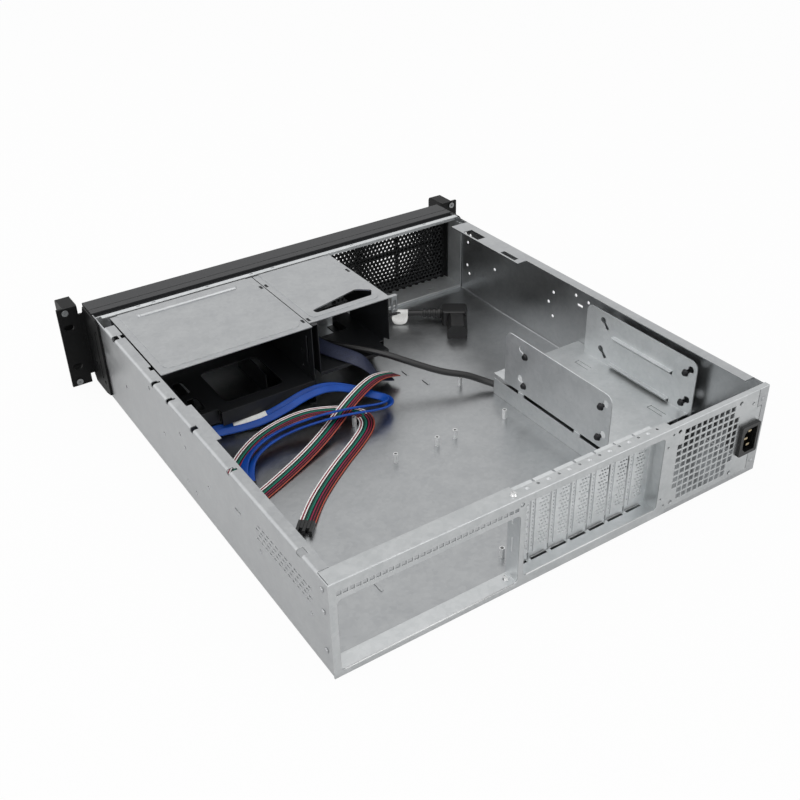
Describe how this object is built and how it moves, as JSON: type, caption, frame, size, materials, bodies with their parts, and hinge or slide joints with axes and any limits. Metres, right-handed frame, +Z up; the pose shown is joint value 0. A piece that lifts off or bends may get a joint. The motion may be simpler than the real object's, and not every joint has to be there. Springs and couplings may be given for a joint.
{
  "type": "rackmount server case",
  "caption": "Open-topped 2U rackmount case with folded steel tray, drive bays, raised cradle, slot covers, ears, handles and leads.",
  "frame": {"origin": "middle of the case's footprint, on the floor that it stands on", "axes": "+X towards the side with the input/output window, +Y towards the rear panel, +Z up"},
  "size_m": [0.4826, 0.5184, 0.0897],
  "materials": {
    "galvanised_steel": "galvanised sheet, satin spangle",
    "black_painted_steel": "fine textured black powder coat",
    "black_cage_steel": "black coated sheet, satin",
    "bright_screw": "bright zinc plated",
    "black_screw": "black oxide",
    "black_plastic": "moulded black plastic",
    "black_cord": "black flexible PVC",
    "blue_cable": "glossy blue PVC",
    "ribbon_colours": "rainbow ribbon of parallel PVC insulated wires",
    "navy_sleeve": "dark blue sleeve",
    "white_label": "white paper or vinyl",
    "brass_pin": "nickel over brass",
    "green_board": "solder masked circuit board",
    "clear_light": "clear lens"
  },
  "bodies": {
    "case": {"base_pan": "galvanised_steel", "rear_panel": "galvanised_steel", "expansion_frame": "galvanised_steel", "power_inlet": "black_plastic", "inlet_pins": "brass_pin", "standoffs": "bright_screw", "drive_cradle": "galvanised_steel", "cradle_support_left": "galvanised_steel", "cradle_support_right": "galvanised_steel", "cradle_screws": "black_screw", "cradle_screws_inner": "black_screw", "data_cable_sleeve": "white_label", "front_frame": "galvanised_steel", "front_mesh": "black_painted_steel", "front_panel": "black_painted_steel", "bay_blank": "black_painted_steel", "control_board": "green_board", "usb_ports": "bright_screw", "status_lights": "clear_light", "bay_cover_large": "galvanised_steel", "bay_cover_small": "galvanised_steel", "bay_cage_large": "black_cage_steel", "bay_cage_small": "black_cage_steel", "drive_tray": "black_cage_steel", "ear_left": "black_painted_steel", "ear_right": "black_painted_steel", "handle_left": "black_painted_steel", "handle_right": "black_painted_steel", "handle_screws": "bright_screw", "wall_rivets": "bright_screw", "frame_screws": "bright_screw", "power_cord": "black_cord", "cord_strain_relief": "black_plastic", "cord_plug": "black_plastic", "cord_label": "white_label", "data_cable_1": "blue_cable", "data_cable_2": "blue_cable", "data_cable_plugs": "black_plastic", "panel_ribbon_1": "ribbon_colours", "panel_ribbon_2": "ribbon_colours", "ribbon_plugs": "black_plastic", "ribbon_sleeve": "navy_sleeve", "slot_cover_1": "galvanised_steel", "slot_cover_2": "galvanised_steel", "slot_cover_3": "galvanised_steel", "slot_cover_4": "galvanised_steel", "slot_cover_5": "galvanised_steel", "slot_cover_6": "galvanised_steel", "slot_cover_7": "galvanised_steel"},
    "power_button": {"power_button": "black_plastic"},
    "reset_button": {"reset_button": "black_plastic"}
  },
  "joints": [
    {"name": "power_press", "type": "slide", "parent": "case", "child": "power_button", "axis": [0, 1, 0], "range_m": [0, 0.0012], "stiffness_N_per_m": 900, "springref_m": -0.0006},
    {"name": "reset_press", "type": "slide", "parent": "case", "child": "reset_button", "axis": [0, 1, 0], "range_m": [0, 0.0012], "stiffness_N_per_m": 700, "springref_m": -0.0006}
  ]
}
